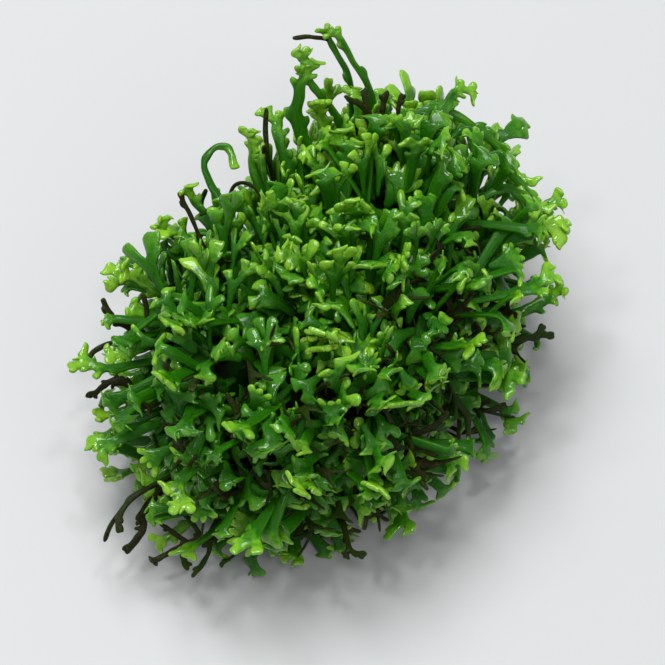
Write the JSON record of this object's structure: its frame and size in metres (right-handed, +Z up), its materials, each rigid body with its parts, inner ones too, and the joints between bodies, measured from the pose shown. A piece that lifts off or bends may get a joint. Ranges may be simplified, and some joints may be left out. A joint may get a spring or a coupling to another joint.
{
  "type": "moss clump",
  "caption": "Loose oval cushion of densely packed, flat forked green fronds, with taller ones at the back and a few old dark ones, flat where it rests.",
  "frame": {"origin": "middle of the flat underside, under the heart of the cushion, on the surface that the clump rests on", "axes": "+Z is up, -Y is the front, which the camera looks at, and +X is to the right seen from the front"},
  "size_m": [0.0298, 0.03, 0.0204],
  "materials": {
    "moss": "satin",
    "frond": "satin",
    "old_frond": "satin"
  },
  "bodies": {
    "root": {"frond_01": "frond", "frond_02": "frond", "frond_03": "frond", "frond_04": "frond", "frond_05": "frond", "frond_06": "frond", "frond_07": "frond", "frond_08": "frond", "frond_09": "frond", "frond_10": "frond", "frond_11": "frond", "moss_cushion": "moss", "old_frond_01": "old_frond", "old_frond_02": "old_frond", "old_frond_03": "old_frond", "old_frond_04": "old_frond", "old_frond_05": "old_frond", "old_frond_06": "old_frond", "old_frond_07": "old_frond", "short_frond_01": "frond", "short_frond_02": "frond", "short_frond_03": "frond", "short_frond_04": "frond", "short_frond_05": "frond", "short_frond_06": "frond", "short_frond_07": "frond", "short_frond_08": "frond", "short_frond_09": "frond", "short_frond_10": "frond", "short_frond_11": "frond", "short_frond_12": "frond", "short_frond_13": "frond", "short_frond_14": "frond", "short_frond_15": "frond", "short_frond_16": "frond", "short_frond_17": "frond", "short_frond_18": "frond", "short_frond_19": "frond", "short_frond_20": "frond", "short_frond_21": "frond", "short_frond_22": "frond", "short_frond_23": "frond", "short_frond_24": "frond", "short_frond_25": "frond", "short_frond_26": "frond", "short_frond_27": "frond", "short_frond_28": "frond", "short_frond_29": "frond", "short_frond_30": "frond", "short_frond_31": "frond", "short_frond_32": "frond", "short_frond_33": "frond", "tall_frond_01": "frond", "tall_frond_02": "frond", "tall_frond_03": "frond", "tall_frond_04": "frond"}
  },
  "joints": []
}
